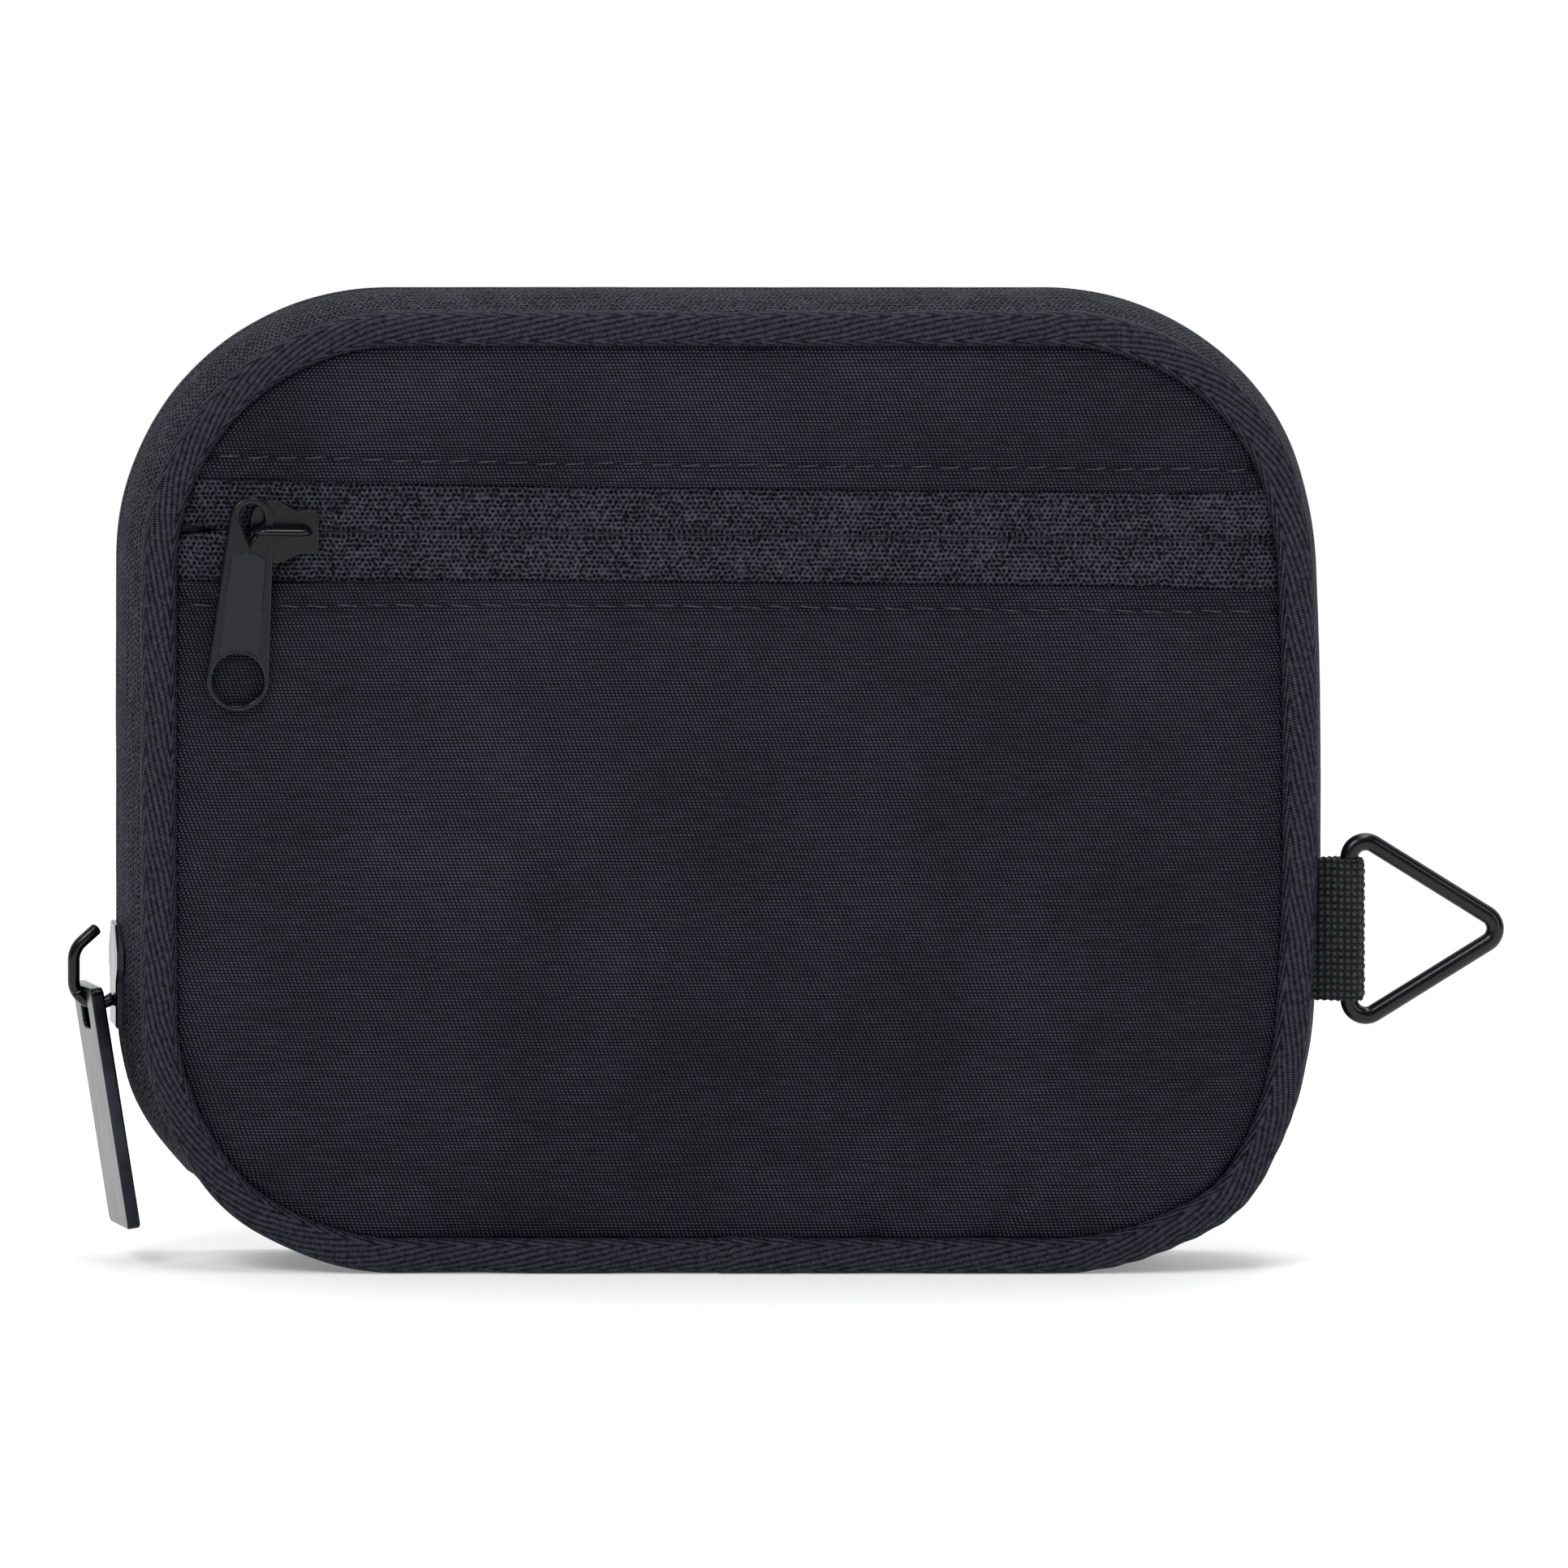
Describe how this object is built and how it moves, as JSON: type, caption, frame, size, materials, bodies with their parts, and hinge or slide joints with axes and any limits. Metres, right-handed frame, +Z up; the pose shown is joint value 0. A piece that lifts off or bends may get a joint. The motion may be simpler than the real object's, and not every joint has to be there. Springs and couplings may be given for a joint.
{
  "type": "zippered pouch",
  "caption": "Upright padded fabric pouch, zipped round three sides, with a zipped front pocket and a triangle ring on a webbing tab.",
  "frame": {"origin": "centre of the flat base, midway between the two bindings, on the surface it stands on", "axes": "+Z up, +X towards the side with the triangle ring, the front with the pocket zip faces -Y"},
  "size_m": [0.1934, 0.0299, 0.1315],
  "materials": {
    "outer_cloth": "plain-woven padded nylon, faint sheen",
    "binding_twill": "herringbone twill tape",
    "zip_tape": "knitted polyester zip tape",
    "zip_coil": "nylon coil",
    "lining_cloth": "thin plain lining cloth",
    "foam": "closed-cell padding",
    "webbing": "coarse woven webbing",
    "black_metal": "satin black lacquer",
    "gunmetal": "polished black nickel"
  },
  "bodies": {
    "spine": {"bottom_gusset": "outer_cloth", "bottom_gusset_lining": "lining_cloth"},
    "front_half": {"front_upper_panel": "outer_cloth", "front_lower_panel": "outer_cloth", "pocket_tape_upper": "zip_tape", "pocket_tape_lower": "zip_tape", "pocket_coil_upper": "zip_coil", "pocket_coil_lower": "zip_coil", "pocket_backing": "lining_cloth", "front_foam": "foam", "front_lining": "lining_cloth", "front_binding": "binding_twill", "front_gusset_tape": "zip_tape", "front_gusset_coil": "zip_coil", "webbing_tab": "webbing"},
    "back_half": {"back_panel": "outer_cloth", "back_foam": "foam", "back_lining": "lining_cloth", "back_binding": "binding_twill", "back_gusset_tape": "zip_tape", "back_gusset_coil": "zip_coil", "main_zip_stops": "gunmetal"},
    "main_slider": {"main_slider_body": "gunmetal", "main_slider_hook": "black_metal"},
    "main_pull": {"main_pull": "gunmetal"},
    "pocket_slider": {"pocket_slider_body": "black_metal", "pocket_slider_bail": "black_metal"},
    "pocket_pull": {"pocket_pull": "black_metal"},
    "ring": {"triangle_ring": "black_metal"}
  },
  "joints": [
    {"name": "front_opens", "type": "hinge", "parent": "spine", "child": "front_half", "pos_m": [0, -0.013, 0], "axis": [1, 0, 0], "range_deg": [0, 90]},
    {"name": "back_opens", "type": "hinge", "parent": "spine", "child": "back_half", "pos_m": [0, 0.013, 0], "axis": [-1, 0, 0], "range_deg": [0, 90]},
    {"name": "main_slider_runs", "type": "slide", "parent": "back_half", "child": "main_slider", "axis": [0, 0, 1], "range_m": [0, 0.049]},
    {"name": "main_pull_swings", "type": "hinge", "parent": "main_slider", "child": "main_pull", "pos_m": [-0.08546, 0, 0.0353], "axis": [0, 1, 0], "range_deg": [0, 60]},
    {"name": "pocket_slider_runs", "type": "slide", "parent": "front_half", "child": "pocket_slider", "axis": [1, 0, -0.0098], "range_m": [0, 0.124]},
    {"name": "pocket_pull_swings", "type": "hinge", "parent": "pocket_slider", "child": "pocket_pull", "pos_m": [-0.0642, -0.0138, 0.10033], "axis": [0, 1, 0], "range_deg": [-50, 150]},
    {"name": "ring_swings", "type": "hinge", "parent": "front_half", "child": "ring", "pos_m": [0.0842, -0.0085, 0.0462], "axis": [0, 0, 1], "range_deg": [-105, 85]}
  ]
}
